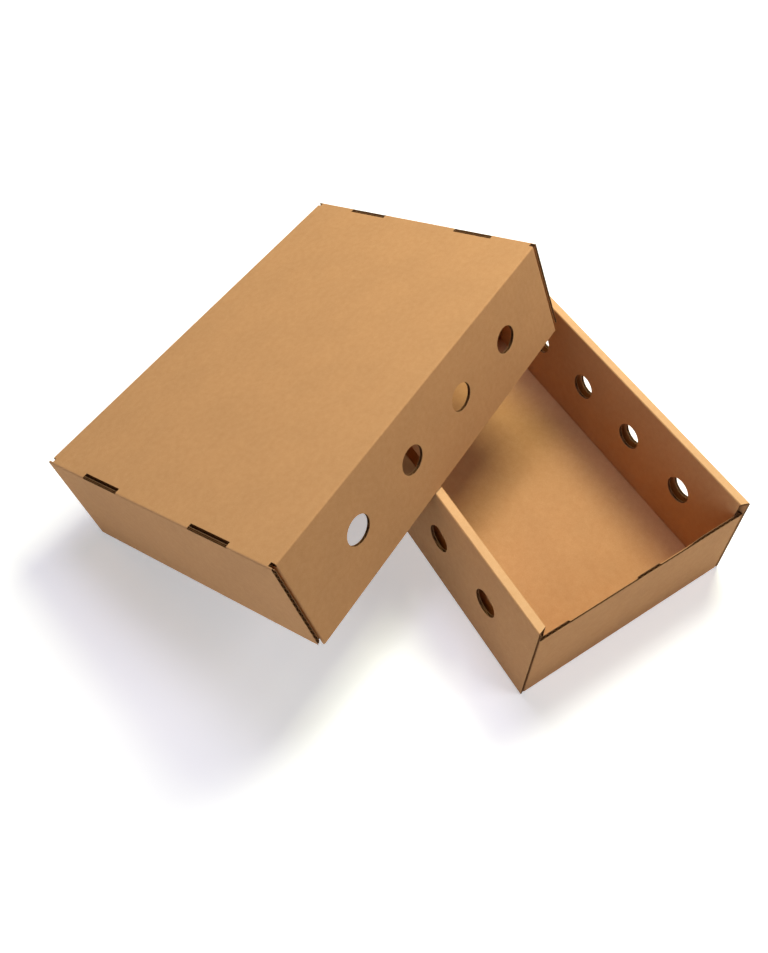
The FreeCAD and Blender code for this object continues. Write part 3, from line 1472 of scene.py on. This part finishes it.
@dataclass(frozen=True)
class Lamp:
    """A large soft studio lamp aimed at the box.

    Attributes:
        name: Name of the lamp.
        place: Where it hangs, in metres.
        size: Side of its square face, in metres.
        power: In watts.
        colour: Tint of its light.
    """

    name: str
    place: tuple[float, float, float]
    size: float
    power: float
    colour: str = "#FFFFFF"

    def build(self) -> bpy.types.Object:
        """Build the lamp.

        Returns:
            The lamp.
        """
        data = bpy.data.lights.new(self.name, "AREA")
        data.shape = "SQUARE"
        data.size = self.size
        data.energy = self.power
        data.color = linear(self.colour)[:3]
        lamp = bpy.data.objects.new(self.name, data)
        lamp.location = Vector(self.place)
        aim = Vector((-0.1, 0.05, 0.1)) - Vector(self.place)
        lamp.rotation_euler = aim.to_track_quat("-Z", "Y").to_euler()
        bpy.context.scene.collection.objects.link(lamp)
        return lamp


class Studio:
    """The pale floor, the white surroundings and the soft lamps."""

    lamps = (
        Lamp("key_lamp", (0.7, 0.5, 1.7), 0.7, 28.0, "#FAFFE0"),
        Lamp("far_lamp", (0.0, 0.6, 2.0), 0.7, 14.3, "#E4E4FF"),
        Lamp("near_lamp", (1.1, -1.3, 1.5), 1.0, 15.5, "#EEECF2"),
        Lamp("low_lamp", (-2.0, -0.75, 0.35), 0.8, 13.0, "#DEE9FF"),
    )
    surroundings = 0.03
    floor_lift = 0.42
    floor_half = 6.0
    floor_drop = 0.0003

    def build(self) -> None:
        """Build everything around the box."""
        self._floor()
        self._world()
        for lamp in self.lamps:
            lamp.build()
        bpy.context.scene.view_settings.view_transform = "Standard"

    def _floor(self) -> None:
        """A wide plain floor that keeps the box's shadow."""
        mesh = bmesh.new()
        bmesh.ops.create_grid(mesh, x_segments=1, y_segments=1, size=self.floor_half)
        data = bpy.data.meshes.new("floor")
        mesh.to_mesh(data)
        mesh.free()
        floor = bpy.data.objects.new("floor", data)
        floor.location.z = -self.floor_drop
        bpy.context.scene.collection.objects.link(floor)
        material, tree = new_material("white_sweep")
        shader = add_node(
            tree, "ShaderNodeBsdfPrincipled",
            {"Base Color": linear("#F4F3F1"), "Roughness": 0.9, "Specular IOR Level": 0.1})
        rays = add_node(tree, "ShaderNodeLightPath", {})
        place = add_node(tree, "ShaderNodeTexCoord", {})
        away = add_node(
            tree, "ShaderNodeVectorMath", {"operation": "LENGTH"}, {"0": place.outputs["Object"]})
        paler = ranged(tree, away.outputs["Value"], (0.7, 2.4), (self.floor_lift, 1.0))
        lift = maths(tree, "MULTIPLY", rays.outputs["Is Camera Ray"], paler)
        glow = add_node(
            tree, "ShaderNodeEmission", {"Color": (1.0, 1.0, 1.0, 1.0)},
            {"Strength": lift})
        shown = add_node(
            tree, "ShaderNodeAddShader", {}, {"0": shader.outputs["BSDF"],
                                              "1": glow.outputs["Emission"]})
        add_node(tree, "ShaderNodeOutputMaterial", {}, {"Surface": shown.outputs["Shader"]})
        data.materials.append(material)

    def _world(self) -> None:
        """White to the eye and in reflections, and a plain level of light on the box."""
        world = bpy.data.worlds.new("studio")
        bpy.context.scene.world = world
        world.use_nodes = True
        tree = world.node_tree
        tree.nodes.clear()
        rays = add_node(tree, "ShaderNodeLightPath", {})
        seen = maths(tree, "MAXIMUM", rays.outputs["Is Camera Ray"], rays.outputs["Is Glossy Ray"])
        seen = maths(tree, "MAXIMUM", seen, rays.outputs["Is Transmission Ray"])
        light = add_node(
            tree, "ShaderNodeBackground", {"Color": (1.0, 1.0, 1.0, 1.0)},
            {"Strength": ranged(tree, seen, (0.0, 1.0), (self.surroundings, 1.0))})
        add_node(tree, "ShaderNodeOutputWorld", {}, {"Surface": light.outputs["Background"]})


def main() -> None:
    """Build the studio, the tray and the lid in order."""
    logging.basicConfig(level=logging.INFO, format="%(message)s")
    Studio().build()
    Camera().build()
    tray = BaseTray()
    tray.build()
    LidTray().build(tray)


if __name__ == "__main__":
    main()
